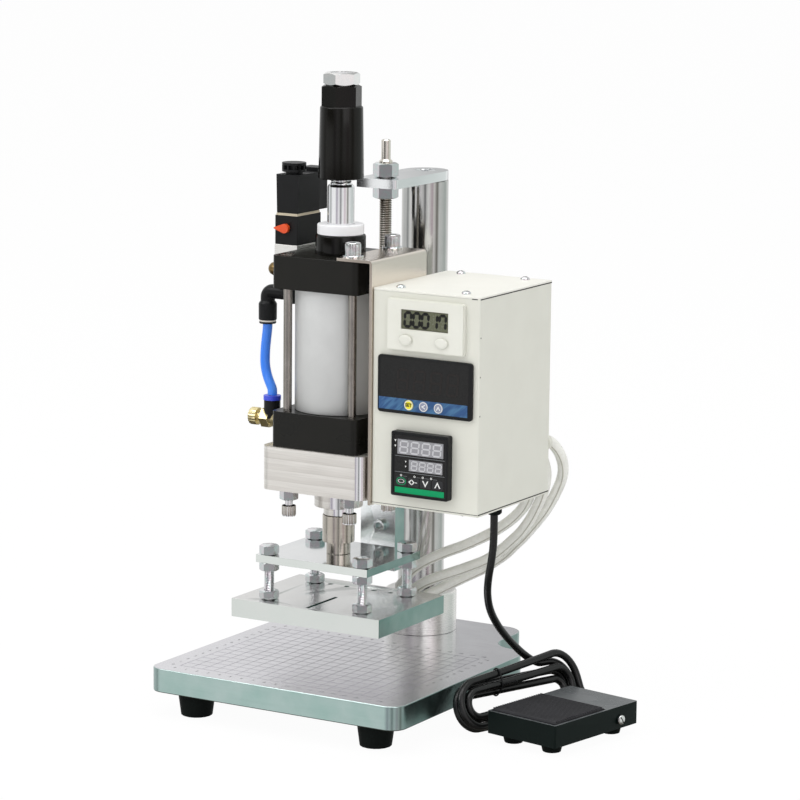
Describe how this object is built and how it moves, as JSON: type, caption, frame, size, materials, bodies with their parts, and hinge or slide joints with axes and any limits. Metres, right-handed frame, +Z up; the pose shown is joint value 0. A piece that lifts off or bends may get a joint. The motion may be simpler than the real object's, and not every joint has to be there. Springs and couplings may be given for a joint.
{
  "type": "hot foil stamping machine",
  "caption": "Bench press: an air cylinder on a column drives a heated platen on to a gridded table, with a control box at its side and a foot switch on a cord.",
  "frame": {"origin": "middle of the footprint of the machine and its foot switch, on the bench, measured without the cords, hose and sleeves", "axes": "+Z up, the operator stands at -Y, the control box and the foot switch are on the +X side"},
  "size_m": [0.3342, 0.26, 0.4842],
  "materials": {
    "brushed_aluminium": "brushed, satin",
    "bright_aluminium": "fine ground, bright",
    "hard_chrome": "polished",
    "zinc_plated_steel": "zinc plated, bright",
    "bare_steel": "rolled sheet and turned steel",
    "black_anodised": "black anodised, satin",
    "barrel_aluminium": "clear anodised, matt",
    "black_plastic": "moulded, fine grain",
    "black_rubber": "matt",
    "cord_jacket": "smooth jacket, slight sheen",
    "black_paint": "satin enamel",
    "white_paint": "powder coat, warm white",
    "ivory_plastic": "moulded, satin",
    "white_nylon": "turned nylon",
    "brass": "machined",
    "orange_plastic": "moulded",
    "blue_tube": "extruded",
    "yellow_plastic": "moulded",
    "grey_plastic": "moulded",
    "pale_sleeving": "coated glass fibre sleeving"
  },
  "bodies": {
    "stand": {"base_plate": "bright_aluminium", "foot_front_left": "black_rubber", "foot_front_right": "black_rubber", "foot_rear_left": "black_rubber", "foot_rear_right": "black_rubber", "column_collar": "brushed_aluminium", "column": "hard_chrome", "top_plate": "brushed_aluminium", "pedal_base": "black_rubber", "pedal_housing": "black_paint", "pedal_pivot_pin": "zinc_plated_steel", "pedal_cord_drop": "cord_jacket", "pedal_cord_hank": "cord_jacket", "pedal_cord_tail": "cord_jacket"},
    "lift_screw": {"lift_screw": "zinc_plated_steel"},
    "head": {"head_arm": "brushed_aluminium", "arm_clamp_screw": "bare_steel", "lift_nut_block": "brushed_aluminium", "bottom_cap": "black_anodised", "cylinder_barrel": "barrel_aluminium", "top_cap": "black_anodised", "rod_bearing": "black_anodised", "buffer_washer": "white_nylon", "side_bracket": "bare_steel", "valve_base": "brushed_aluminium", "valve_pilot": "black_plastic", "valve_coil": "black_plastic", "brass_plug": "brass", "elbow_fitting": "black_plastic", "air_hose": "blue_tube", "flow_valve": "brass", "box_casing": "white_paint", "box_lid": "white_paint", "box_floor": "white_paint", "cord_gland": "black_rubber", "counter": "ivory_plastic", "meter": "black_plastic", "temperature_controller": "black_plastic", "heater_sleeve_upper": "pale_sleeving", "heater_sleeve_middle": "pale_sleeving", "heater_sleeve_lower": "pale_sleeving"},
    "ram": {"ram_rod": "hard_chrome", "top_nut": "zinc_plated_steel", "ram_coupling": "bare_steel", "upper_plate": "bright_aluminium", "heating_platen": "bright_aluminium", "bolt_front_left": "zinc_plated_steel", "bolt_front_right": "zinc_plated_steel", "bolt_rear_left": "zinc_plated_steel", "bolt_rear_right": "zinc_plated_steel"},
    "stroke_sleeve": {"stroke_sleeve": "black_anodised"},
    "override_lever": {"override_lever": "orange_plastic"},
    "flow_knob": {"flow_knob": "brass"},
    "counter_button_left": {"counter_button_left": "ivory_plastic"},
    "counter_button_right": {"counter_button_right": "ivory_plastic"},
    "meter_key_set": {"meter_key_set": "yellow_plastic"},
    "meter_key_shift": {"meter_key_shift": "grey_plastic"},
    "meter_key_up": {"meter_key_up": "grey_plastic"},
    "pedal_tread": {"pedal_tread": "black_rubber"}
  },
  "joints": [
    {"name": "head_lift", "type": "slide", "parent": "stand", "child": "head", "axis": [0, 0, 1], "range_m": [0, 0.06], "deforming": ["pedal_cord_drop"]},
    {"name": "lift_screw_spin", "type": "hinge", "parent": "stand", "child": "lift_screw", "pos_m": [-0.05707, 0.0295, 0.3], "axis": [0, 0, 1], "continuous": true},
    {"name": "ram_slide", "type": "slide", "parent": "head", "child": "ram", "axis": [0, 0, -1], "range_m": [0, 0.0337], "deforming": ["heater_sleeve_upper", "heater_sleeve_middle", "heater_sleeve_lower"]},
    {"name": "stroke_sleeve_turn", "type": "hinge", "parent": "ram", "child": "stroke_sleeve", "pos_m": [-0.05707, -0.035, 0.44], "axis": [0, 0, 1], "continuous": true},
    {"name": "override_turn", "type": "hinge", "parent": "head", "child": "override_lever", "pos_m": [-0.10482, -0.0353, 0.3647], "axis": [0, -1, 0], "range_deg": [0, 90]},
    {"name": "flow_knob_turn", "type": "hinge", "parent": "head", "child": "flow_knob", "pos_m": [-0.12907, -0.035, 0.2186], "axis": [-1, 0, 0], "continuous": true},
    {"name": "counter_button_left_press", "type": "slide", "parent": "head", "child": "counter_button_left", "axis": [0, 1, 0], "range_m": [0, 0.001], "stiffness_N_per_m": 500, "springref_m": -0.0005},
    {"name": "counter_button_right_press", "type": "slide", "parent": "head", "child": "counter_button_right", "axis": [0, 1, 0], "range_m": [0, 0.001], "stiffness_N_per_m": 500, "springref_m": -0.0005},
    {"name": "meter_key_set_press", "type": "slide", "parent": "head", "child": "meter_key_set", "axis": [0, 1, 0], "range_m": [0, 0.0004], "stiffness_N_per_m": 800, "springref_m": -0.0004},
    {"name": "meter_key_shift_press", "type": "slide", "parent": "head", "child": "meter_key_shift", "axis": [0, 1, 0], "range_m": [0, 0.0004], "stiffness_N_per_m": 800, "springref_m": -0.0004},
    {"name": "meter_key_up_press", "type": "slide", "parent": "head", "child": "meter_key_up", "axis": [0, 1, 0], "range_m": [0, 0.0004], "stiffness_N_per_m": 800, "springref_m": -0.0004},
    {"name": "pedal_press", "type": "hinge", "parent": "stand", "child": "pedal_tread", "pos_m": [0.13185, 0.01155, 0.014], "axis": [0.9833, -0.1822, 0], "range_deg": [0, 4.5], "stiffness_Nm_per_rad": 6, "springref_deg": -5.73}
  ],
  "couplings": [
    {"joint": "lift_screw_spin", "follows": "head_lift", "rad_per_m": 4188.8}
  ]
}
